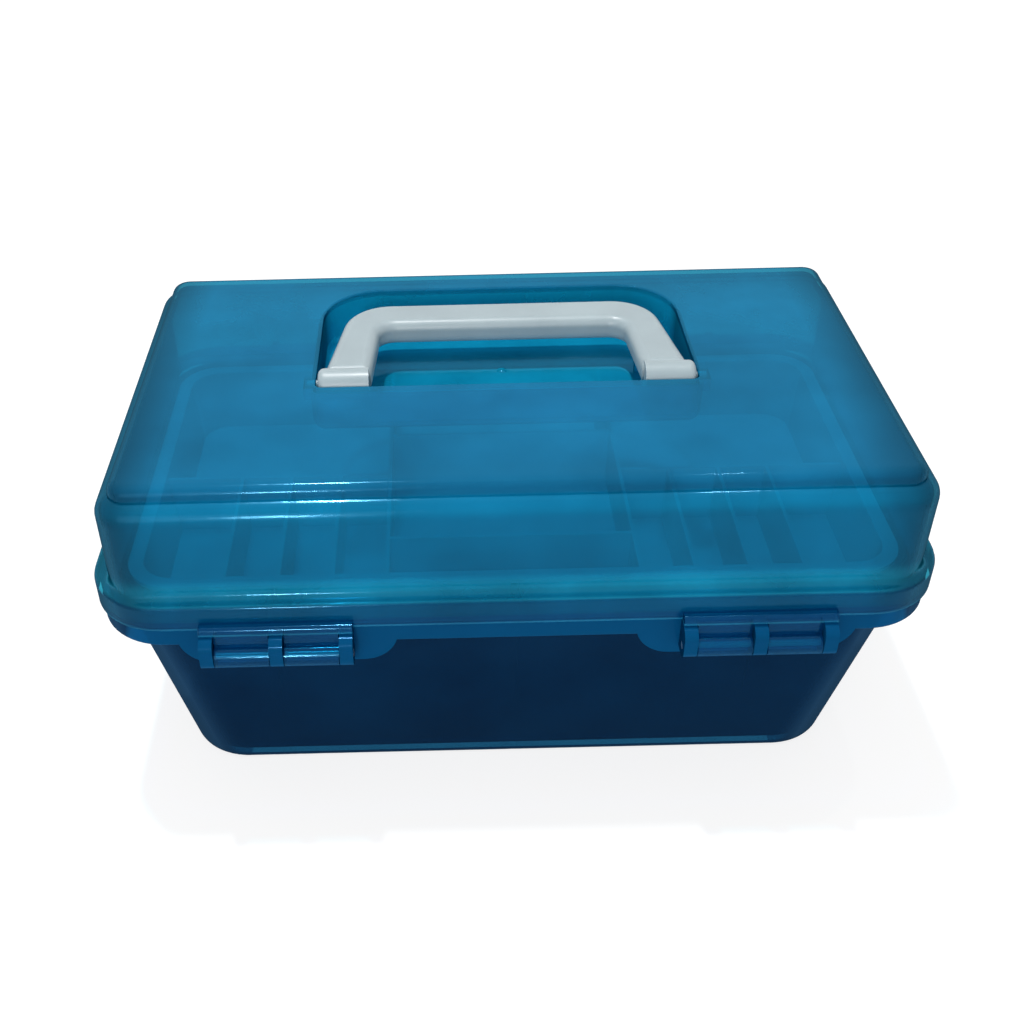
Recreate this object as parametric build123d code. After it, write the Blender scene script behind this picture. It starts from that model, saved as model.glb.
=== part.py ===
from build123d import *
import math
import os

# Organizer box with a hinged lid, a folding carry handle, two snap latches
# and a lift-out tray. Millimetres, +Z up, origin at the middle of the
# footprint on the floor. Hinges face -Y, latches face +Y.

# Overall size
box_width = 320.0
box_depth = 195.6
box_height = 150.0

# Moulding
wall = 2.0
rest_gap = 0.3
running_gap = 0.06
press_gap = 0.01

# Tub
tub_lean = 9.5
tub_corner_radius = 26.0
tub_bottom_round = 3.5
foot_ring_width = 9.0
foot_ring_height = 1.0
upstand_above_rim = 6.0

# Rim around the tub
rim_top = 94.0
rim_drop = 8.6
rim_inset = 1.5
rim_ledge = 5.7
rim_corner_radius = 27.0
rim_edge_round = 1.2
apron_drop = 17.5
apron_inner_reach = 44.7
apron_outer_reach = 37.8
apron_round = 13.0

# Ribs inside the tub that carry the tray
tray_rest_width = 3.0
tray_rest_spacing = 92.0
tray_rest_side_spacing = 90.0

# Lid
skirt_height = 10.7
skirt_round = 1.8
lid_side_inset = 8.1
lid_near_inset = 5.6
lid_far_inset = 12.5
lid_corner_radius = 13.0
ledge_fillet = 3.0
shoulder_drop = 5.3
shoulder_round = 7.5
plateau_inset = 5.6
plateau_round = 4.2

# Pocket in the lid that holds the handle
pocket_width = 151.6
pocket_near = -18.9
pocket_depth = 18.5
pocket_far_round = 25.0
pocket_near_round = 3.0
pocket_floor_round = 3.0
pocket_lip_round = 0.8
gate_mark_radius = 2.2
gate_mark_height = 0.9

# Carry handle
handle_pivot_depth = 2.7
handle_barrel_radius = 6.2
handle_barrel_length = 20.3
handle_near_gap = 0.5
handle_side_gap = 0.8
handle_far_gap = 19.1
handle_bar_width = 18.6
handle_thickness = 10.7
handle_reach = 56.0
handle_leg_width = 19.0
handle_leg_set_in = 2.2
handle_outer_lean = 9.0
handle_inner_lean = 4.2
handle_outer_corner = 20.0
handle_inner_corner = 7.0
handle_edge_round = 4.2
handle_barrel_round = 2.6
handle_pin_radius = 1.6
handle_pin_length = 4.4
handle_socket_wall = 3.0
handle_stop_width = 8.0
handle_stop_thickness = 2.4
handle_stop_reach = 29.2

# Hinges
hinge_centre_inset = 70.8
hinge_axis_out = 3.5
hinge_axis_below_rim = 9.5
hinge_rib_spacing = 25.8
hinge_rib_thickness = 5.0
hinge_rib_below_rim = 0.5
hinge_knuckle_radius = 4.5
hinge_pin_radius = 1.5
hinge_side_gap = 0.3
hinge_arm_thickness = 3.5
hinge_pad_height = 3.3
hinge_pad_round = 2.0

# Snap latches
latch_centre_inset = 72.0
latch_width = 34.0
latch_axis_out = 3.5
latch_axis_above_skirt = 5.2
latch_barrel_radius = 3.2
latch_plate_thickness = 2.4
latch_below_rim = 8.9
latch_hook_height = 2.6
latch_hook_gap = 0.7
latch_pin_radius = 1.5
latch_ear_thickness = 3.0
latch_ear_radius = 4.0
latch_grip_rib_depth = 0.5
latch_grip_rib_count = 3
latch_grip_rib_spacing = 3.0

# Lift-out tray
tray_lid_gap = 1.3
tray_corner_radius = 18.0
tray_flange_width = 4.3
tray_wall = 1.6
tray_height = 30.0
tray_lean = 5.0
tray_divider = 1.5
tray_divider_drop = 2.0
tray_cross_walls = (48.5, 69.3, 90.1, 110.9)
tray_front_wall_y = -52.0
tray_side_wall_y = -8.0
tray_back_wall_y = 22.0

# Levels and half sizes that follow from the driving dimensions
half_width = box_width / 2
half_depth = box_depth / 2
tub_slope = math.tan(math.radians(tub_lean))
tub_wall_span = wall / math.cos(math.radians(tub_lean))
floor_top = foot_ring_height + wall
upstand_top = rim_top + upstand_above_rim
rim_half_width = half_width - rim_inset
rim_half_depth = half_depth - rim_inset
rim_bottom = rim_top - rim_drop
tub_floor_half_width = rim_half_width - rim_ledge - tub_slope * rim_top
tub_floor_half_depth = rim_half_depth - rim_ledge - tub_slope * rim_top
apron_bottom = rim_top - apron_drop
lid_bottom = rim_top + rest_gap
ledge_top = lid_bottom + skirt_height
lid_half_width = half_width - lid_side_inset
lid_half_depth = half_depth - (lid_near_inset + lid_far_inset) / 2
lid_middle_y = (lid_near_inset - lid_far_inset) / 2
shoulder_top = box_height - shoulder_drop
pocket_floor = box_height - pocket_depth
pocket_half_width = pocket_width / 2
pocket_far = pocket_near + handle_near_gap + handle_barrel_radius + handle_reach + handle_far_gap
hinge_centre_x = half_width - hinge_centre_inset
hinge_axis_y = -(half_depth + hinge_axis_out)
hinge_axis_z = rim_top - hinge_axis_below_rim
hinge_rib_top = rim_top - hinge_rib_below_rim
outer_reach = half_depth + hinge_axis_out + hinge_knuckle_radius
latch_centre_x = half_width - latch_centre_inset
latch_axis_y = half_depth + latch_axis_out
latch_axis_z = lid_bottom + latch_axis_above_skirt
latch_bottom = rim_bottom - latch_below_rim
tray_half_width = lid_half_width - wall - tray_lid_gap
tray_half_depth = half_depth - max(lid_near_inset, lid_far_inset) - wall - tray_lid_gap
tray_flange_bottom = upstand_top + rest_gap
tray_top = tray_flange_bottom + tray_wall
tray_bottom = tray_top - tray_height
tray_body_half_width = tray_half_width - tray_flange_width
tray_body_half_depth = tray_half_depth - tray_flange_width
tray_slope = math.tan(math.radians(tray_lean))
handle_pivot_y = pocket_near + handle_near_gap + handle_barrel_radius
handle_pivot_z = box_height - handle_pivot_depth
handle_barrel_outer = pocket_half_width - handle_side_gap
handle_barrel_inner = handle_barrel_outer - handle_barrel_length
handle_leg_outer = handle_barrel_outer - handle_leg_set_in
handle_leg_inner = handle_leg_outer - handle_leg_width
handle_top = handle_pivot_z + handle_barrel_radius
handle_bottom = handle_top - handle_thickness


def rounded_slab(half_x, half_y, radius, bottom, top):
    """Upright block with rounded plan corners between two heights."""
    outline = Pos(0, 0, bottom) * RectangleRounded(2 * half_x, 2 * half_y, radius)
    return extrude(outline, amount=top - bottom)


def flared_slab(half_x, half_y, radius, bottom, top, slope):
    """Rounded block that widens upwards; its half sizes are given at height 0."""
    sections = []
    for height in (bottom, top):
        grown_x = half_x + slope * height
        grown_y = half_y + slope * height
        outline = RectangleRounded(2 * grown_x, 2 * grown_y, radius)
        sections.append(Pos(0, 0, height) * outline)
    return loft(sections, ruled=True)


def block(low, high):
    """Plain box between two corners."""
    size = [b - a for a, b in zip(low, high)]
    middle = [(a + b) / 2 for a, b in zip(low, high)]
    return Pos(*middle) * Box(*size)


def rod(radius, start_x, end_x, y, z):
    """Round bar along X."""
    middle = (start_x + end_x) / 2
    return Pos(middle, y, z) * Rot(0, 90, 0) * Cylinder(radius, end_x - start_x)


def side_profile(points, start_x, end_x):
    """Outline in the YZ plane, pushed along X."""
    outline = make_face(Polyline(*[(start_x, y, z) for y, z in points], close=True))
    return extrude(outline, amount=end_x - start_x, dir=(1, 0, 0))


def round_top(solid, radius):
    """Fillet the highest ring of edges."""
    return fillet(solid.edges().group_by(Axis.Z)[-1], radius)


def round_bottom(solid, radius):
    """Fillet the lowest ring of edges."""
    return fillet(solid.edges().group_by(Axis.Z)[0], radius)


def hinge_rib_centres(side):
    """X of the three ribs that carry one hinge pin."""
    return [side * hinge_centre_x + step * hinge_rib_spacing for step in (-1, 0, 1)]


def tub_cavity(top):
    """Room inside the tub, up to the given height."""
    cavity = flared_slab(
        tub_floor_half_width - tub_wall_span,
        tub_floor_half_depth - tub_wall_span,
        tub_corner_radius - wall,
        floor_top,
        top,
        tub_slope,
    )
    return round_bottom(cavity, tub_bottom_round)


def tray_rests():
    """Ribs inside the tub walls, flat on top, that carry the tray's flange."""
    inner_x = tray_body_half_width + 3 * rest_gap
    inner_y = tray_body_half_depth + 3 * rest_gap
    half = tray_rest_width / 2
    rests = []
    for side in (-1, 1):
        for step in (-1, 0, 1):
            x = step * tray_rest_spacing
            y_inner = side * inner_y
            y_outer = side * half_depth
            low_y = min(y_inner, y_outer)
            high_y = max(y_inner, y_outer)
            rests.append(block((x - half, low_y, floor_top), (x + half, high_y, upstand_top)))
        for step in (-0.5, 0.5):
            y = step * tray_rest_side_spacing
            low_x = min(side * inner_x, side * half_width)
            high_x = max(side * inner_x, side * half_width)
            rests.append(block((low_x, y - half, floor_top), (high_x, y + half, upstand_top)))
    return rests


def apron(side):
    """Deeper stretch of the rim's lip around one hinge, with rounded lower corners."""
    middle = side * (hinge_centre_x + (apron_outer_reach - apron_inner_reach) / 2)
    length = apron_inner_reach + apron_outer_reach
    plate = block(
        (middle - length / 2, -rim_half_depth, apron_bottom),
        (middle + length / 2, -rim_half_depth + wall, rim_top),
    )
    corners = plate.edges().filter_by(Axis.Y).group_by(Axis.Z)[0]
    return fillet(corners, apron_round)


def hinge_rib(x):
    """One rib of a hinge: a rounded plate on the apron with a bore for the pin."""
    half = hinge_rib_thickness / 2
    outer_y = hinge_axis_y - hinge_knuckle_radius
    bottom = hinge_axis_z - hinge_knuckle_radius
    plate = block((x - half, outer_y, bottom), (x + half, -rim_half_depth + wall / 2, hinge_rib_top))
    outer_edges = plate.edges().filter_by(Axis.X).group_by(Axis.Y)[0]
    return fillet(outer_edges, hinge_knuckle_radius)


def base_tub():
    """Tapered tub with its rim, aprons, hinge ribs and tray rests."""
    shell = flared_slab(
        tub_floor_half_width, tub_floor_half_depth, tub_corner_radius, 0, upstand_top, tub_slope
    )
    shell = round_bottom(shell, tub_bottom_round)
    rim = rounded_slab(rim_half_width, rim_half_depth, rim_corner_radius, rim_top - wall, rim_top)
    lip = rounded_slab(rim_half_width, rim_half_depth, rim_corner_radius, rim_bottom, rim_top)
    lip = round_bottom(lip, rim_edge_round)
    lip_hollow = rounded_slab(
        rim_half_width - wall, rim_half_depth - wall, rim_corner_radius - wall, 0, rim_top
    )
    tub = shell + rim + (lip - lip_hollow)
    tub = tub - tub_cavity(box_height)
    for rest in tray_rests():
        tub = tub + (rest & shell)
    for side in (-1, 1):
        tub = tub + apron(side)
        for x in hinge_rib_centres(side):
            tub = tub + hinge_rib(x)
        reach = hinge_rib_spacing + hinge_rib_thickness
        start = side * hinge_centre_x - reach
        end = side * hinge_centre_x + reach
        tub = tub - rod(hinge_pin_radius + press_gap, start, end, hinge_axis_y, hinge_axis_z)
    recess = rounded_slab(
        tub_floor_half_width - foot_ring_width,
        tub_floor_half_depth - foot_ring_width,
        tub_corner_radius - foot_ring_width,
        0,
        foot_ring_height,
    )
    return tub - recess


def pocket_block(grow, bottom, top, floor_round):
    """The handle pocket's outline as a block, grown on all sides by the given amount."""
    near = pocket_near - grow
    far = pocket_far + grow
    side = pocket_half_width + grow
    solid = block((-side, near, bottom), (side, far, top))
    upright = solid.edges().filter_by(Axis.Z).group_by(Axis.Y)
    solid = fillet(upright[-1], pocket_far_round + grow)
    upright = solid.edges().filter_by(Axis.Z).group_by(Axis.Y)
    solid = fillet(upright[0], pocket_near_round + grow)
    return round_bottom(solid, floor_round)


def lid_form(grow_in):
    """The lid's stepped outside, or its inside when drawn in by one wall."""
    skirt = rounded_slab(
        half_width - grow_in,
        half_depth - grow_in,
        rim_corner_radius + rim_inset - grow_in,
        lid_bottom - grow_in,
        ledge_top - grow_in,
    )
    upper = rounded_slab(
        lid_half_width - grow_in,
        lid_half_depth - grow_in,
        lid_corner_radius - grow_in,
        lid_bottom,
        shoulder_top - grow_in,
    )
    upper = Pos(0, lid_middle_y, 0) * round_top(upper, shoulder_round - grow_in)
    plateau = rounded_slab(
        lid_half_width - plateau_inset - grow_in,
        lid_half_depth - plateau_inset - grow_in,
        lid_corner_radius - plateau_inset - grow_in,
        ledge_top,
        box_height - grow_in,
    )
    plateau = Pos(0, lid_middle_y, 0) * round_top(plateau, plateau_round - grow_in)
    if grow_in > 0:
        return skirt + upper + plateau
    stepped = round_top(skirt, skirt_round) + upper
    stepped = fillet(ledge_corner_edges(stepped), ledge_fillet)
    return stepped + plateau


def ledge_corner_edges(stepped):
    """Edges where the lid's upper walls stand on the ledge."""
    corner = []
    for edge in stepped.edges():
        box = edge.bounding_box()
        on_ledge = abs(box.min.Z - ledge_top) < 0.01 and abs(box.max.Z - ledge_top) < 0.01
        at_walls = box.max.X < lid_half_width + 0.01 and box.min.X > -lid_half_width - 0.01
        inside_y = abs(edge.center().Y - lid_middle_y) < lid_half_depth + 0.01
        if on_ledge and at_walls and inside_y:
            corner.append(edge)
    return corner


def hinge_knuckle(low_x, high_x):
    """Lid knuckle between two ribs, with the arm that carries it."""
    barrel = rod(hinge_knuckle_radius, low_x, high_x, hinge_axis_y, hinge_axis_z)
    arm_inner = -half_depth - rest_gap
    arm_outer = arm_inner - hinge_arm_thickness
    arm = block((low_x, arm_outer, hinge_axis_z), (high_x, arm_inner, lid_bottom + wall))
    return barrel + arm


def hinge_pad(side):
    """Thick strip along the skirt's lower edge above one hinge, rounded outside."""
    reach = hinge_rib_spacing + hinge_rib_thickness / 2
    start = side * hinge_centre_x - reach
    end = side * hinge_centre_x + reach
    inner = -half_depth + wall / 2
    outer = -half_depth - rest_gap - hinge_arm_thickness
    strip = block((start, outer, lid_bottom), (end, inner, lid_bottom + hinge_pad_height))
    outer_edges = strip.edges().filter_by(Axis.X).group_by(Axis.Y)[0]
    return fillet(outer_edges.group_by(Axis.Z)[-1], hinge_pad_round)


def latch_ear(x):
    """One of the ears on the lid's skirt that hold a latch's pins."""
    half = latch_ear_thickness / 2
    disc = rod(latch_ear_radius, x - half, x + half, latch_axis_y, latch_axis_z)
    foot = block(
        (x - half, half_depth - wall / 2, latch_axis_z - latch_ear_radius),
        (x + half, latch_axis_y, latch_axis_z + latch_ear_radius),
    )
    return disc + foot


def latch_ear_centres(side):
    """X of the two ears of one latch."""
    reach = latch_width / 2 + hinge_side_gap + latch_ear_thickness / 2
    return [side * latch_centre_x - reach, side * latch_centre_x + reach]


def handle_socket(side):
    """Boss under the plateau that closes the end of one handle bore."""
    inner = pocket_half_width + wall / 2
    outer = pocket_half_width + wall + handle_socket_wall
    low_x = min(side * inner, side * outer)
    high_x = max(side * inner, side * outer)
    half = handle_pin_radius + handle_socket_wall
    return block(
        (low_x, handle_pivot_y - half, handle_pivot_z - half),
        (high_x, handle_pivot_y + half, box_height - wall / 2),
    )


def handle_stop(side):
    """Rib on the pocket floor that the folded handle's leg lies on."""
    outer = handle_leg_outer - math.tan(math.radians(handle_outer_lean)) * handle_stop_reach
    inner = handle_leg_inner - math.tan(math.radians(handle_inner_lean)) * handle_stop_reach
    x = side * (outer + inner) / 2
    near_y = handle_pivot_y + handle_stop_reach
    return block(
        (x - handle_stop_width / 2, near_y, pocket_floor - wall / 2),
        (x + handle_stop_width / 2, near_y + handle_stop_thickness, handle_bottom - rest_gap),
    )


def gate_mark():
    """Low dome left by the moulding gate in the middle of the pocket floor."""
    ball_radius = (gate_mark_radius**2 + gate_mark_height**2) / (2 * gate_mark_height)
    middle_y = (pocket_near + pocket_far) / 2
    ball = Pos(0, middle_y, pocket_floor + gate_mark_height - ball_radius) * Sphere(ball_radius)
    keep = block(
        (-gate_mark_radius, middle_y - gate_mark_radius, pocket_floor - wall / 2),
        (gate_mark_radius, middle_y + gate_mark_radius, pocket_floor + gate_mark_height),
    )
    return ball & keep


def pocket_lip_edges(lid):
    """Edges where the plateau turns down into the pocket."""
    lip = []
    for edge in lid.edges():
        spot = edge.center()
        on_top = abs(spot.Z - box_height) < 0.01
        inside_x = abs(spot.X) < pocket_half_width + 0.01
        inside_y = pocket_near - 0.01 < spot.Y < pocket_far + 0.01
        if on_top and inside_x and inside_y:
            lip.append(edge)
    return lip


def lid_shell():
    """One-piece lid: skirt, ledge, upper walls, plateau and handle pocket."""
    hollow = lid_form(wall) - pocket_block(
        wall, pocket_floor - wall, box_height, pocket_floor_round + wall
    )
    lid = lid_form(0) - hollow
    lid = lid - pocket_block(0, pocket_floor, box_height + wall, pocket_floor_round)
    lid = fillet(pocket_lip_edges(lid), pocket_lip_round)
    lid = lid + gate_mark()
    for side in (-1, 1):
        lid = lid + handle_socket(side) + handle_stop(side) + hinge_pad(side)
        bore_start = side * (pocket_half_width - wall)
        bore_end = side * (handle_barrel_outer + handle_pin_length + rest_gap)
        lid = lid - rod(
            handle_pin_radius + running_gap,
            min(bore_start, bore_end),
            max(bore_start, bore_end),
            handle_pivot_y,
            handle_pivot_z,
        )
        ribs = hinge_rib_centres(side)
        for left_rib, right_rib in zip(ribs[:-1], ribs[1:]):
            low_x = left_rib + hinge_rib_thickness / 2 + hinge_side_gap
            high_x = right_rib - hinge_rib_thickness / 2 - hinge_side_gap
            lid = lid + hinge_knuckle(low_x, high_x)
        lid = lid - rod(
            hinge_pin_radius + running_gap, ribs[0], ribs[-1], hinge_axis_y, hinge_axis_z
        )
        for x in latch_ear_centres(side):
            lid = lid + latch_ear(x)
            lid = lid - rod(
                latch_pin_radius + running_gap,
                x - latch_ear_thickness,
                x + latch_ear_thickness,
                latch_axis_y,
                latch_axis_z,
            )
    return lid


def carry_handle():
    """Folding handle: a flat bent bar with a round foot and pin at each end."""
    outer_slope = math.tan(math.radians(handle_outer_lean))
    inner_slope = math.tan(math.radians(handle_inner_lean))
    bar_far = handle_pivot_y + handle_reach
    bar_near = bar_far - handle_bar_width
    outer_at_bar = handle_leg_outer - outer_slope * handle_reach
    inner_at_bar = handle_leg_inner - inner_slope * (bar_near - handle_pivot_y)
    points = [
        (-handle_leg_outer, handle_pivot_y),
        (-outer_at_bar, bar_far),
        (outer_at_bar, bar_far),
        (handle_leg_outer, handle_pivot_y),
        (handle_leg_inner, handle_pivot_y),
        (inner_at_bar, bar_near),
        (-inner_at_bar, bar_near),
        (-handle_leg_inner, handle_pivot_y),
    ]
    outline = make_face(Polyline(*points, close=True))
    bar = extrude(Pos(0, 0, handle_bottom) * outline, amount=handle_thickness)
    upright = bar.edges().filter_by(Axis.Z).group_by(Axis.Y)
    bar = fillet(upright[-1], handle_outer_corner)
    upright = bar.edges().filter_by(Axis.Z).group_by(Axis.Y)
    inner_corners = [e for group in upright for e in group if abs(e.center().Y - bar_near) < 0.01]
    bar = fillet(inner_corners, handle_inner_corner)
    rims = bar.edges().group_by(Axis.Z)
    bar = fillet(rims[0] + rims[-1], handle_edge_round)
    handle = bar
    for side in (-1, 1):
        ends = (side * handle_barrel_inner, side * handle_barrel_outer)
        barrel = rod(handle_barrel_radius, min(ends), max(ends), handle_pivot_y, handle_pivot_z)
        by_x = barrel.edges().filter_by(GeomType.CIRCLE).sort_by(Axis.X)
        outer_edge = by_x[-1] if side > 0 else by_x[0]
        barrel = fillet(outer_edge, handle_barrel_round)
        pin_ends = (ends[1] - side * wall, ends[1] + side * handle_pin_length)
        pin = rod(
            handle_pin_radius, min(pin_ends), max(pin_ends), handle_pivot_y, handle_pivot_z
        )
        handle = handle + barrel + pin
    return handle


def snap_latch(side):
    """Snap latch: barrel with pins, plate, hook and finger tab."""
    middle = side * latch_centre_x
    low_x = middle - latch_width / 2
    high_x = middle + latch_width / 2
    inner = latch_axis_y - latch_plate_thickness / 2
    outer = latch_axis_y + latch_plate_thickness / 2
    hook_tip = rim_half_depth + latch_hook_gap
    hook_top = rim_bottom - 2 * rest_gap
    hook_bottom = hook_top - latch_hook_height
    tab_out = outer_reach
    points = [
        (inner, latch_axis_z),
        (inner, hook_top),
        (hook_tip, hook_top),
        (inner, hook_bottom),
        (tab_out - latch_plate_thickness, latch_bottom),
        (tab_out, latch_bottom),
        (outer, hook_bottom + wall),
        (outer, latch_axis_z),
    ]
    plate = side_profile(points, low_x, high_x)
    barrel = rod(latch_barrel_radius, low_x, high_x, latch_axis_y, latch_axis_z)
    reach = latch_ear_thickness + hinge_side_gap
    pins = rod(latch_pin_radius, low_x - reach, high_x + reach, latch_axis_y, latch_axis_z)
    latch = plate + barrel + pins
    for index in range(latch_grip_rib_count):
        z = hook_bottom + 2 * wall + index * latch_grip_rib_spacing
        latch = latch + rod(latch_grip_rib_depth, low_x + wall, high_x - wall, outer, z)
    return latch


def tray_compartments():
    """Corners of each compartment's floor plan, as (low x, low y, high x, high y)."""
    half = tray_divider / 2
    edge_x = tray_body_half_width - tray_wall
    edge_y = tray_body_half_depth - tray_wall
    middle = tray_cross_walls[0] - half
    rows = [
        (-edge_y, tray_front_wall_y - half),
        (tray_front_wall_y + half, tray_back_wall_y - half),
        (tray_back_wall_y + half, edge_y),
    ]
    plans = [(-middle, low_y, middle, high_y) for low_y, high_y in rows]
    walls = list(tray_cross_walls) + [edge_x + half]
    for side in (-1, 1):
        for inner_wall, outer_wall in zip(walls[:-1], walls[1:]):
            ends = (side * (inner_wall + half), side * (outer_wall - half))
            plans.append((min(ends), -edge_y, max(ends), tray_side_wall_y - half))
        ends = (side * (tray_cross_walls[0] + half), side * edge_x)
        plans.append((min(ends), tray_side_wall_y + half, max(ends), edge_y))
    return plans


def lift_out_tray():
    """Tray with a hanging flange and open compartments."""
    lift = tray_slope * tray_top
    body = flared_slab(
        tray_body_half_width - lift,
        tray_body_half_depth - lift,
        tray_corner_radius - tray_flange_width,
        tray_bottom,
        tray_top,
        tray_slope,
    )
    cavity = flared_slab(
        tray_body_half_width - lift - tray_wall,
        tray_body_half_depth - lift - tray_wall,
        tray_corner_radius - tray_flange_width - tray_wall,
        tray_bottom + tray_wall,
        tray_top + wall,
        tray_slope,
    )
    flange = rounded_slab(
        tray_half_width, tray_half_depth, tray_corner_radius, tray_flange_bottom, tray_top
    )
    tray = body + flange
    above = tray_top - tray_divider_drop
    headroom = rounded_slab(half_width, half_depth, wall, above, box_height)
    tray = tray - (cavity & headroom)
    for low_x, low_y, high_x, high_y in tray_compartments():
        cut = block((low_x, low_y, tray_bottom + tray_wall), (high_x, high_y, box_height))
        tray = tray - (cut & cavity)
    return tray


def hinge_pin(side):
    """Steel pin through one hinge."""
    reach = hinge_rib_spacing + hinge_rib_thickness / 2
    start = side * hinge_centre_x - reach
    end = side * hinge_centre_x + reach
    return rod(hinge_pin_radius, start, end, hinge_axis_y, hinge_axis_z)


pieces = {
    "base_tub": base_tub(),
    "lid_shell": lid_shell(),
    "carry_handle": carry_handle(),
    "lift_out_tray": lift_out_tray(),
    "hinge_pin_left": hinge_pin(-1),
    "hinge_pin_right": hinge_pin(1),
    "latch_left": snap_latch(-1),
    "latch_right": snap_latch(1),
}

os.makedirs("parts", exist_ok=True)
for name, shape in pieces.items():
    export_step(shape, "parts/" + name + ".step")
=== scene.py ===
import math

import bpy
from mathutils import Matrix, Vector

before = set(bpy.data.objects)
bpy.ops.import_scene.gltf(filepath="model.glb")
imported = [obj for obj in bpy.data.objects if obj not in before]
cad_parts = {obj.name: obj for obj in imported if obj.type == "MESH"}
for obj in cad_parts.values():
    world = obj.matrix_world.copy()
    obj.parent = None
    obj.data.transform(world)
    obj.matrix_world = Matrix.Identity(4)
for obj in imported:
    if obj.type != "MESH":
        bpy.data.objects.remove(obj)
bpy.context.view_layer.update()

# Places on the solids, in metres; a pair is the span over which a colour ends

TUB_FOOT_HALF = (0.1371, 0.0749)
TUB_LEAN = 0.1673
TUB_FOOT_TOP = 0.006
FLANGE_STARTS = (0.0015, 0.003)
POCKET_SIDE = (0.0758, 0.0764)
POCKET_MIDDLE_Y = 0.022
POCKET_END = (0.0409, 0.0415)
POCKET_FLOOR = (0.1305, 0.1311)
POCKET_TOP = (0.1470, 0.1480)
# Spans of the painted shade towards the lid's sides and far end
LID_SIDE_FADE = (0.131, 0.148)
LID_SIDE_UNEVEN = 0.008
LID_FAR_FADE = (0.040, 0.080)

# Colours, linear red, green and blue

# Lid colours by height; several bands are painted light and shade, marked below
LID_BLUES_WITH_PAINTED_LIGHT = [
    (0.0942, (0.001, 0.060, 0.20)),
    # Painted highlight: a thin light line along the skirt's lower edge
    (0.0944, (0.020, 0.28, 0.50)),
    (0.0949, (0.020, 0.28, 0.50)),
    (0.0952, (0.001, 0.065, 0.21)),
    (0.0973, (0.001, 0.065, 0.21)),
    (0.0983, (0.001, 0.12, 0.28)),
    (0.1042, (0.002, 0.13, 0.30)),
    # Painted light: a bright band on the ledge and the foot of the wall above it
    (0.1048, (0.016, 0.49, 0.75)),
    (0.1095, (0.011, 0.39, 0.62)),
    (0.1130, (0.003, 0.19, 0.37)),
    (0.1380, (0.003, 0.20, 0.39)),
    (0.1410, (0.004, 0.25, 0.46)),
    (0.1445, (0.004, 0.25, 0.46)),
    # Painted shade: darker in the groove where the plateau rises from the shoulder
    (0.1460, (0.003, 0.15, 0.32)),
    (0.1500, (0.010, 0.21, 0.40)),
]
# Painted light: a brighter blue inside the handle pocket, lifting its shade
POCKET_PAINTED_LIGHT_BLUE = (0.007, 0.45, 0.73)
LID_SIDE_PAINTED_SHADE = 0.4
LID_FAR_PAINTED_SHADE = 0.7
LID_MOTTLE = (0.8, 1.12)
TUB_BLUES = ((0.0005, 0.014, 0.05), (0.001, 0.022, 0.07))
TUB_RIM_BLUE = (0.002, 0.09, 0.235)
TUB_FOOT_PAINTED_SHADE = 0.3
TRAY_BLUES = ((0.08, 0.52, 0.64), (0.13, 0.62, 0.72))
STEEL_GREYS = ((0.42, 0.43, 0.45), (0.6, 0.61, 0.63))
WHITE = (1, 1, 1, 1)

# Surfaces: sizes of noise per metre, heights of bumps in metres, shares from 0 to 1

NOISE_SPAN = (0.3, 0.7)
BUMP_HEIGHT = 0.0004

PATCH_SIZE = 22
PATCH_ROUGH = 0.55
GRAIN_SIZE = 340
PATCH_BUMP = 0.9
GRAIN_BUMP = 0.02
CLOUD_ROUGH = 0.6
CLOUD_SPAN = (0.3, 0.75)
CLOUD_LESS, CLOUD_MORE = 0.05, 0.06
FLAT_ANGLE = (0.48, 0.80)
FLAT_ANGLE_SHADE = 0.35
FACING_BLEND = 0.5
SHADOW_CLOUD = 0.4

SCRATCH_STRETCH = (14, 520, 60)
SCRATCH_EDGE = 0.05
SCRATCHES = ((0.5, 0.66), (-0.9, 0.68))
WEAR_SPAN = (0.42, 0.62)
WEAR_CLOUD = 0.35
GLOSS_SPAN = (0.35, 0.7)
GLOSS_ROUGH_SPREAD = 0.05
GLOSS_LIMIT = 0.09

MILK_PATCH_SIZE = 45
MILK_PATCH_ROUGH = 0.6
MILK_GRAIN_SIZE = 900
MILK_PATCH_BUMP = 0.5
MILK_GRAIN_BUMP = 0.05
MILK_BEND = 1.49
MILK_GLOSS_ROUGH = (0.28, 0.42)
MILK_CLOUD = 0.15
MILK_CLOUD_DEPTH = 0.004

WIRE_STRETCH = (20, 2500, 2500)
WIRE_ROUGH = (0.25, 0.45)
WIRE_BUMP = 0.00005

# Floor, world, lamps and camera

FLOOR_SIZE = 12
FLOOR_GREY_UNSEEN, FLOOR_GREY_SEEN = 0.8, 0.35
FLOOR_WHITENS = (0.6, 2.2)
FLOOR_GLOW = (0.77, 1.0)
WORLD_LIGHT, WORLD_SEEN = 0.42, 1.0

LAMPS = [
    # name, place, target, width, height, watts
    ("soft_top", (0.0, 0.2, 1.9), (0, 0, 0.1), 1.6, 1.6, 2),
    ("soft_front", (-0.7, -1.8, 0.9), (0, 0, 0.1), 1.2, 1.2, 6),
    ("key_left", (-0.20, 0.19, 1.62), (-0.07, -0.086, 0.15), 0.05, 0.10, 14),
    ("key_right", (0.41, 0.19, 1.62), (0.07, -0.086, 0.15), 0.03, 0.05, 1),
    ("key_front", (-0.28, -1.47, 0.70), (-0.08, -0.10, 0.09), 0.09, 0.25, 6),
]

CAMERA_PLACE = (-0.0269, -0.4424, 0.4039)
CAMERA_LOOKS_DOWN = 36.79
CAMERA_ROLL = -0.0237
CAMERA_SENSOR = 36
CAMERA_LENS = 43.95
CAMERA_SHIFT = 0.0682
CAMERA_NEAREST = 0.01


# Nodes of materials


def new_material(name):
    """Empty material with an output node."""
    material = bpy.data.materials.new(name)
    material.use_nodes = True
    tree = material.node_tree
    tree.nodes.clear()
    output = tree.nodes.new("ShaderNodeOutputMaterial")
    return material, tree, output


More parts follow.
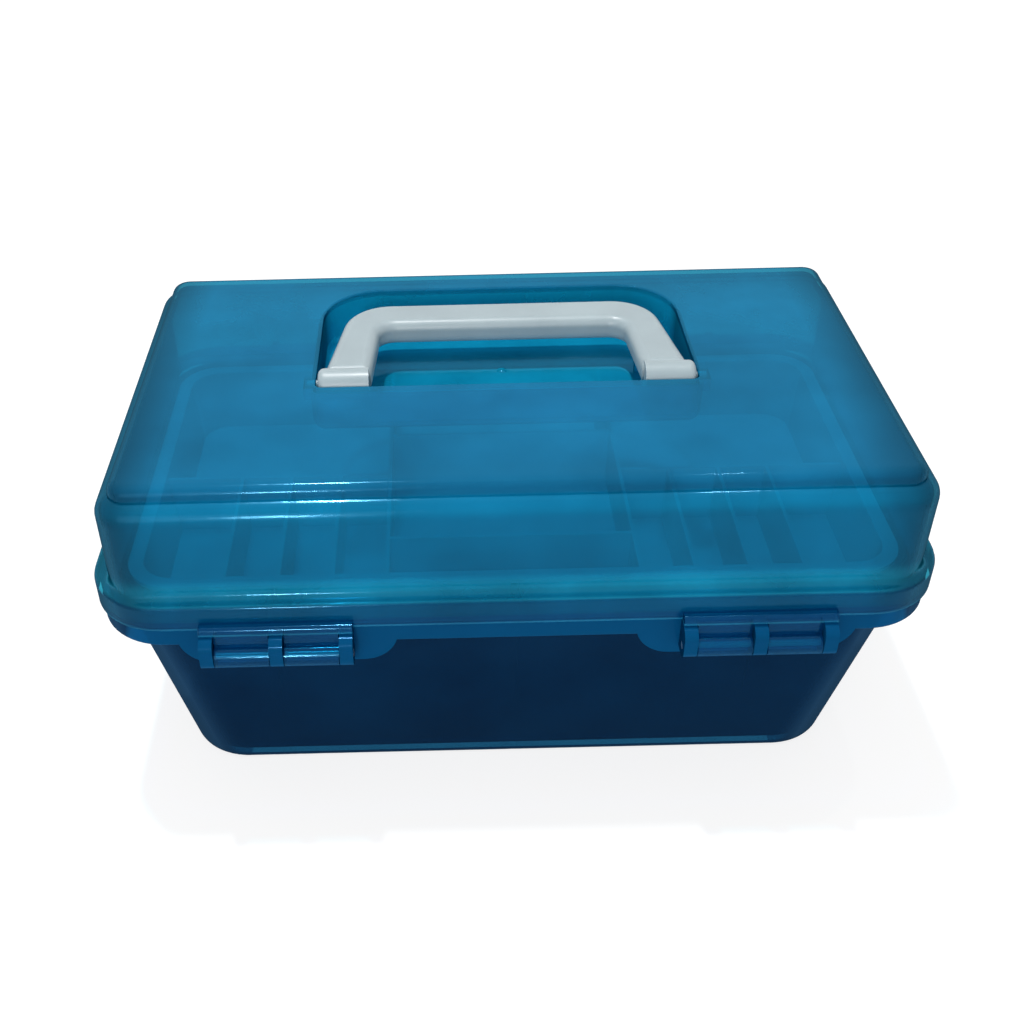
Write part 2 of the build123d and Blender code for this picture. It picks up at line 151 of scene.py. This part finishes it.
def place(tree, scale=(1, 1, 1), turn=0):
    """Coordinates in metres of the resting object, stretched and turned about Z."""
    coordinates = tree.nodes.new("ShaderNodeTexCoord")
    mapping = tree.nodes.new("ShaderNodeMapping")
    mapping.inputs["Scale"].default_value = scale
    mapping.inputs["Rotation"].default_value = (0, 0, turn)
    tree.links.new(coordinates.outputs["Object"], mapping.inputs["Vector"])
    return mapping.outputs["Vector"]


def noise(tree, vector, scale, detail, rough=0.5):
    """Soft noise from 0 to 1."""
    node = tree.nodes.new("ShaderNodeTexNoise")
    node.inputs["Scale"].default_value = scale
    node.inputs["Detail"].default_value = detail
    node.inputs["Roughness"].default_value = rough
    tree.links.new(vector, node.inputs["Vector"])
    return node.outputs["Fac"]


def remap(tree, value, span, new_low, new_high):
    """Moves a value from its span to another one and holds it there."""
    node = tree.nodes.new("ShaderNodeMapRange")
    node.clamp = True
    names = ("From Min", "From Max", "To Min", "To Max")
    for name, number in zip(names, (*span, new_low, new_high)):
        node.inputs[name].default_value = number
    tree.links.new(value, node.inputs["Value"])
    return node.outputs["Result"]


def switch(tree, value, when_off, when_on):
    """One number where the value is 0 and another where it is 1."""
    return remap(tree, value, (0, 1), when_off, when_on)


def combine(tree, operation, first, second):
    """Arithmetic on two values; the second may be a number."""
    node = tree.nodes.new("ShaderNodeMath")
    node.operation = operation
    node.use_clamp = operation == "ADD"
    tree.links.new(first, node.inputs[0])
    if isinstance(second, (int, float)):
        node.inputs[1].default_value = second
    else:
        tree.links.new(second, node.inputs[1])
    return node.outputs["Value"]


def magnitude(tree, value):
    """Value without its sign."""
    return combine(tree, "ABSOLUTE", value, 0)


def position(tree):
    """X, Y and Z of the resting object in metres."""
    coordinates = tree.nodes.new("ShaderNodeTexCoord")
    split = tree.nodes.new("ShaderNodeSeparateXYZ")
    tree.links.new(coordinates.outputs["Object"], split.inputs["Vector"])
    return split.outputs["X"], split.outputs["Y"], split.outputs["Z"]


def blend_colours(tree, amount, first, second):
    """Colour that goes from the first to the second with the amount."""
    node = tree.nodes.new("ShaderNodeMix")
    node.data_type = "RGBA"
    node.inputs["A"].default_value = (*first, 1)
    node.inputs["B"].default_value = (*second, 1)
    tree.links.new(amount, node.inputs["Factor"])
    return node.outputs["Result"]


def paint_over(tree, amount, below, colour):
    """Puts a colour over another one where the amount is 1."""
    node = tree.nodes.new("ShaderNodeMix")
    node.data_type = "RGBA"
    node.inputs["B"].default_value = (*colour, 1)
    tree.links.new(below, node.inputs["A"])
    tree.links.new(amount, node.inputs["Factor"])
    return node.outputs["Result"]


def brightness(tree, colour, factor):
    """Multiplies a colour by a value."""
    node = tree.nodes.new("ShaderNodeVectorMath")
    node.operation = "SCALE"
    tree.links.new(colour, node.inputs[0])
    tree.links.new(factor, node.inputs["Scale"])
    return node.outputs["Vector"]


def colour_by_height(tree, height, stops):
    """Colour that changes with the height; the stops are (metres, colour) pairs."""
    low, high = stops[0][0], stops[-1][0]
    ramp = tree.nodes.new("ShaderNodeValToRGB")
    elements = ramp.color_ramp.elements
    while len(elements) < len(stops):
        elements.new(0.5)
    for element, (level, colour) in zip(elements, stops):
        element.position = (level - low) / (high - low)
        element.color = (*colour, 1)
    tree.links.new(remap(tree, height, (low, high), 0, 1), ramp.inputs["Fac"])
    return ramp.outputs["Color"]


def bump(tree, height, distance):
    """Normal bent by a height in metres."""
    node = tree.nodes.new("ShaderNodeBump")
    node.inputs["Distance"].default_value = distance
    tree.links.new(height, node.inputs["Height"])
    return node.outputs["Normal"]


def two_bumps(tree, first, first_height, second, second_height):
    """Normal bent by two heights, each with its share of the bump height."""
    first = combine(tree, "MULTIPLY", first, first_height)
    second = combine(tree, "MULTIPLY", second, second_height)
    return bump(tree, combine(tree, "ADD", first, second), BUMP_HEIGHT)


def scratches(tree, turn, density):
    """Thin faint lines across the surface in one direction."""
    lines = noise(tree, place(tree, SCRATCH_STRETCH, turn), 1.0, detail=2)
    return remap(tree, lines, (density, density + SCRATCH_EDGE), 0, 1)


def mix_shaders(tree, amount, first, second):
    """Shader that goes from the first to the second with the amount."""
    node = tree.nodes.new("ShaderNodeMixShader")
    tree.links.new(amount, node.inputs["Fac"])
    tree.links.new(first, node.inputs[1])
    tree.links.new(second, node.inputs[2])
    return node.outputs["Shader"]


def outer_gloss(tree, bend):
    """Share of gloss, a little more at a flat angle, and none on the inner side of a wall."""
    fresnel = tree.nodes.new("ShaderNodeFresnel")
    fresnel.inputs["IOR"].default_value = bend
    geometry = tree.nodes.new("ShaderNodeNewGeometry")
    outside = switch(tree, geometry.outputs["Backfacing"], 1, 0)
    limited = combine(tree, "MINIMUM", fresnel.outputs[0], GLOSS_LIMIT)
    return combine(tree, "MULTIPLY", outside, limited)


# Colours of the pieces


def flange_share(tree):
    """1 on what stands out from the tub, which widens upwards, and 0 on its own walls."""
    x, y, z = position(tree)
    lean = combine(tree, "MULTIPLY", z, TUB_LEAN)
    beyond = []
    for along, half in zip((x, y), TUB_FOOT_HALF):
        reach = combine(tree, "SUBTRACT", magnitude(tree, along), lean)
        beyond.append(combine(tree, "SUBTRACT", reach, half))
    furthest = combine(tree, "MAXIMUM", beyond[0], beyond[1])
    return remap(tree, furthest, FLANGE_STARTS, 0, 1)


def painted_light_pocket_share(tree):
    """1 on the inside of the handle pocket, where painted light lifts the pocket's shade, 0 on
    the rest of the lid.
    """
    x, y, z = position(tree)
    across = remap(tree, magnitude(tree, x), POCKET_SIDE, 1, 0)
    from_middle = magnitude(tree, combine(tree, "SUBTRACT", y, POCKET_MIDDLE_Y))
    along = remap(tree, from_middle, POCKET_END, 1, 0)
    above = remap(tree, z, POCKET_FLOOR, 0, 1)
    below = remap(tree, z, POCKET_TOP, 1, 0)
    flat = combine(tree, "MULTIPLY", across, along)
    return combine(tree, "MULTIPLY", flat, combine(tree, "MULTIPLY", above, below))


def lid_colour(tree, patches):
    """Blue of the lid with painted light and shade: deep at the lower edge, a painted
    highlight line on the skirt's edge, painted light on the ledge and in the pocket, and
    painted shade in the groove under the plateau, towards the sides and towards the far end.
    """
    x, y, z = position(tree)
    colour = colour_by_height(tree, z, LID_BLUES_WITH_PAINTED_LIGHT)
    # Painted light inside the handle pocket
    colour = paint_over(tree, painted_light_pocket_share(tree), colour, POCKET_PAINTED_LIGHT_BLUE)
    # Painted shade: darker towards the sides, with an uneven edge
    uneven = combine(tree, "MULTIPLY", patches, LID_SIDE_UNEVEN)
    from_side = combine(tree, "ADD", magnitude(tree, x), uneven)
    colour = brightness(tree, colour, remap(tree, from_side, LID_SIDE_FADE, 1, LID_SIDE_PAINTED_SHADE))
    # Painted shade: darker towards the far end
    colour = brightness(tree, colour, remap(tree, y, LID_FAR_FADE, 1, LID_FAR_PAINTED_SHADE))
    return brightness(tree, colour, remap(tree, patches, NOISE_SPAN, *LID_MOTTLE))


def tub_colour(tree, patches):
    """Dark blue of the tub, lighter on its rim and ribs, with painted shade at its foot."""
    height = position(tree)[2]
    colour = blend_colours(tree, remap(tree, patches, NOISE_SPAN, 0, 1), *TUB_BLUES)
    colour = paint_over(tree, flange_share(tree), colour, TUB_RIM_BLUE)
    # Painted shade: darker at the foot, where the tub meets the floor
    return brightness(tree, colour, remap(tree, height, (0, TUB_FOOT_TOP), TUB_FOOT_PAINTED_SHADE, 1))


def tray_colour(tree, patches):
    """Pale blue of the tray."""
    return blend_colours(tree, remap(tree, patches, NOISE_SPAN, 0, 1), *TRAY_BLUES)


# Materials


def clear_plastic(name, tint, body_colour, haze, gloss, gloss_bend, gloss_rough, wear):
    """Tinted see-through plastic: clear tint, cloudy body and a gloss coat with wear."""
    material, tree, output = new_material(name)
    even = place(tree)
    patches = noise(tree, even, PATCH_SIZE, detail=4, rough=PATCH_ROUGH)
    grain = noise(tree, even, GRAIN_SIZE, detail=2)

    clear = tree.nodes.new("ShaderNodeBsdfTransparent")
    clear.inputs["Color"].default_value = (*tint, 1)

    # The wall looks thicker at a flat angle, so it is darker and lets less through
    cloud = tree.nodes.new("ShaderNodeBsdfPrincipled")
    cloud.inputs["Specular IOR Level"].default_value = 0
    cloud.inputs["Roughness"].default_value = CLOUD_ROUGH
    layer = tree.nodes.new("ShaderNodeLayerWeight")
    layer.inputs["Blend"].default_value = FACING_BLEND
    flat_angle = remap(tree, layer.outputs["Facing"], FLAT_ANGLE, 0, 1)
    shade = switch(tree, flat_angle, 1, FLAT_ANGLE_SHADE)
    colour = brightness(tree, body_colour(tree, patches), shade)
    tree.links.new(colour, cloud.inputs["Base Color"])

    lines = combine(tree, "ADD", *(scratches(tree, *values) for values in SCRATCHES))
    worn = combine(tree, "MULTIPLY", lines, remap(tree, patches, WEAR_SPAN, 0, wear))

    # Shadow rays meet less of the cloud, so that light reaches what is inside
    share = remap(tree, patches, CLOUD_SPAN, haze - CLOUD_LESS, haze + CLOUD_MORE)
    share = combine(tree, "ADD", share, combine(tree, "MULTIPLY", worn, WEAR_CLOUD))
    share = combine(tree, "ADD", share, flat_angle)
    path = tree.nodes.new("ShaderNodeLightPath")
    met = switch(tree, path.outputs["Is Shadow Ray"], 1, SHADOW_CLOUD)
    share = combine(tree, "MULTIPLY", share, met)
    wall = mix_shaders(tree, share, clear.outputs[0], cloud.outputs[0])

    coat = tree.nodes.new("ShaderNodeBsdfAnisotropic")
    coat.inputs["Color"].default_value = (*gloss, 1)
    rough = remap(tree, patches, GLOSS_SPAN, gloss_rough, gloss_rough + GLOSS_ROUGH_SPREAD)
    tree.links.new(combine(tree, "ADD", rough, worn), coat.inputs["Roughness"])
    bent = two_bumps(tree, patches, PATCH_BUMP, grain, GRAIN_BUMP)
    tree.links.new(bent, coat.inputs["Normal"])
    coated = mix_shaders(tree, outer_gloss(tree, gloss_bend), wall, coat.outputs[0])
    tree.links.new(coated, output.inputs["Surface"])
    return material


def milky_plastic(name, shade, pale):
    """Cloudy white plastic with faint flow marks."""
    material, tree, output = new_material(name)
    even = place(tree)
    patches = noise(tree, even, MILK_PATCH_SIZE, detail=4, rough=MILK_PATCH_ROUGH)
    grain = noise(tree, even, MILK_GRAIN_SIZE, detail=2)
    body = tree.nodes.new("ShaderNodeBsdfPrincipled")
    body.inputs["IOR"].default_value = MILK_BEND
    body.inputs["Subsurface Weight"].default_value = MILK_CLOUD
    body.inputs["Subsurface Radius"].default_value = (MILK_CLOUD_DEPTH,) * 3
    body.inputs["Subsurface Scale"].default_value = 1.0
    colour = blend_colours(tree, remap(tree, patches, NOISE_SPAN, 0, 1), shade, pale)
    tree.links.new(colour, body.inputs["Base Color"])
    rough = remap(tree, patches, NOISE_SPAN, *MILK_GLOSS_ROUGH)
    tree.links.new(rough, body.inputs["Roughness"])
    bent = two_bumps(tree, patches, MILK_PATCH_BUMP, grain, MILK_GRAIN_BUMP)
    tree.links.new(bent, body.inputs["Normal"])
    tree.links.new(body.outputs[0], output.inputs["Surface"])
    return material


def drawn_steel(name):
    """Plain wire with marks along its length."""
    material, tree, output = new_material(name)
    marks = noise(tree, place(tree, WIRE_STRETCH), 1.0, detail=3)
    body = tree.nodes.new("ShaderNodeBsdfPrincipled")
    body.inputs["Metallic"].default_value = 1.0
    tree.links.new(blend_colours(tree, marks, *STEEL_GREYS), body.inputs["Base Color"])
    tree.links.new(remap(tree, marks, NOISE_SPAN, *WIRE_ROUGH), body.inputs["Roughness"])
    tree.links.new(bump(tree, marks, WIRE_BUMP), body.inputs["Normal"])
    tree.links.new(body.outputs[0], output.inputs["Surface"])
    return material


LID = clear_plastic(
    "lid_plastic",
    tint=(0.24, 0.80, 0.91),
    body_colour=lid_colour,
    haze=0.42,
    gloss=(0.19, 0.62, 0.95),
    gloss_bend=1.38,
    gloss_rough=0.08,
    wear=0.05,
)
TUB = clear_plastic(
    "tub_plastic",
    tint=(0.03, 0.30, 0.55),
    body_colour=tub_colour,
    haze=0.68,
    gloss=(0.15, 0.45, 0.85),
    gloss_bend=1.2,
    gloss_rough=0.09,
    wear=0.05,
)
TRAY = clear_plastic(
    "tray_plastic",
    tint=(0.5, 0.85, 0.9),
    body_colour=tray_colour,
    haze=0.6,
    gloss=(0.9, 1.0, 1.0),
    gloss_bend=1.2,
    gloss_rough=0.15,
    wear=0.05,
)
MILK = milky_plastic("milky_plastic", shade=(0.32, 0.39, 0.42), pale=(0.36, 0.44, 0.47))
STEEL = drawn_steel("drawn_steel")

FINISHES = {
    "lid_shell": (LID, "lid_plastic"),
    "base_tub": (TUB, "tub_plastic"),
    "lift_out_tray": (TRAY, "tray_plastic"),
    "carry_handle": (MILK, "handle_plastic"),
    "latch_left": (MILK, "latch_plastic"),
    "latch_right": (MILK, "latch_plastic"),
    "hinge_pin_left": (STEEL, "pin_steel"),
    "hinge_pin_right": (STEEL, "pin_steel"),
}
for node_name, (finish, slot_name) in FINISHES.items():
    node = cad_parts[node_name]
    node.data.materials.clear()
    node.data.materials.append(finish)


# Floor, light and camera


def seen_directly(tree):
    """1 for what the camera sees, also in gloss and through clear plastic."""
    path = tree.nodes.new("ShaderNodeLightPath")
    total = path.outputs["Is Camera Ray"]
    for name in ("Is Glossy Ray", "Is Transmission Ray"):
        total = combine(tree, "MAXIMUM", total, path.outputs[name])
    return total


def make_floor():
    """Large pale floor that keeps the object's shadow and turns white further away."""
    bpy.ops.mesh.primitive_plane_add(size=FLOOR_SIZE, location=(0, 0, 0))
    floor = bpy.context.object
    floor.name = "floor"
    material, tree, output = new_material("floor")
    matt = tree.nodes.new("ShaderNodeBsdfDiffuse")
    seen = seen_directly(tree)
    grey = switch(tree, seen, FLOOR_GREY_UNSEEN, FLOOR_GREY_SEEN)
    tree.links.new(grey, matt.inputs["Color"])
    distance = tree.nodes.new("ShaderNodeVectorMath")
    distance.operation = "LENGTH"
    tree.links.new(place(tree), distance.inputs[0])
    glow = remap(tree, distance.outputs["Value"], FLOOR_WHITENS, *FLOOR_GLOW)
    lift = tree.nodes.new("ShaderNodeEmission")
    tree.links.new(combine(tree, "MULTIPLY", seen, glow), lift.inputs["Strength"])
    both = tree.nodes.new("ShaderNodeAddShader")
    tree.links.new(matt.outputs[0], both.inputs[0])
    tree.links.new(lift.outputs[0], both.inputs[1])
    tree.links.new(both.outputs[0], output.inputs["Surface"])
    floor.data.materials.append(material)


def make_world():
    """Even soft light, with a white background for the camera."""
    world = bpy.data.worlds.new("world")
    bpy.context.scene.world = world
    world.use_nodes = True
    tree = world.node_tree
    background = tree.nodes["Background"]
    background.inputs["Color"].default_value = WHITE
    strength = switch(tree, seen_directly(tree), WORLD_LIGHT, WORLD_SEEN)
    tree.links.new(strength, background.inputs["Strength"])


def make_lamp(name, where, target, width, height, power):
    """Area lamp that points at a spot."""
    data = bpy.data.lights.new(name, "AREA")
    data.shape = "RECTANGLE"
    data.size = width
    data.size_y = height
    data.energy = power
    light = bpy.data.objects.new(name, data)
    light.location = where
    direction = Vector(target) - Vector(where)
    light.rotation_euler = direction.to_track_quat("-Z", "Y").to_euler()
    bpy.context.scene.collection.objects.link(light)


def make_camera():
    """Camera at the photograph's viewing angle."""
    data = bpy.data.cameras.new("camera")
    data.sensor_width = CAMERA_SENSOR
    data.lens = CAMERA_LENS
    data.shift_x = CAMERA_SHIFT
    data.clip_start = CAMERA_NEAREST
    camera = bpy.data.objects.new("camera", data)
    camera.location = CAMERA_PLACE
    pitch = Matrix.Rotation(math.radians(90 - CAMERA_LOOKS_DOWN), 4, "X")
    roll = Matrix.Rotation(CAMERA_ROLL, 4, "Z")
    camera.rotation_euler = (pitch @ roll).to_euler()
    bpy.context.scene.collection.objects.link(camera)
    bpy.context.scene.camera = camera


make_floor()
make_world()
for lamp_values in LAMPS:
    make_lamp(*lamp_values)
make_camera()
bpy.context.scene.view_settings.view_transform = "Standard"
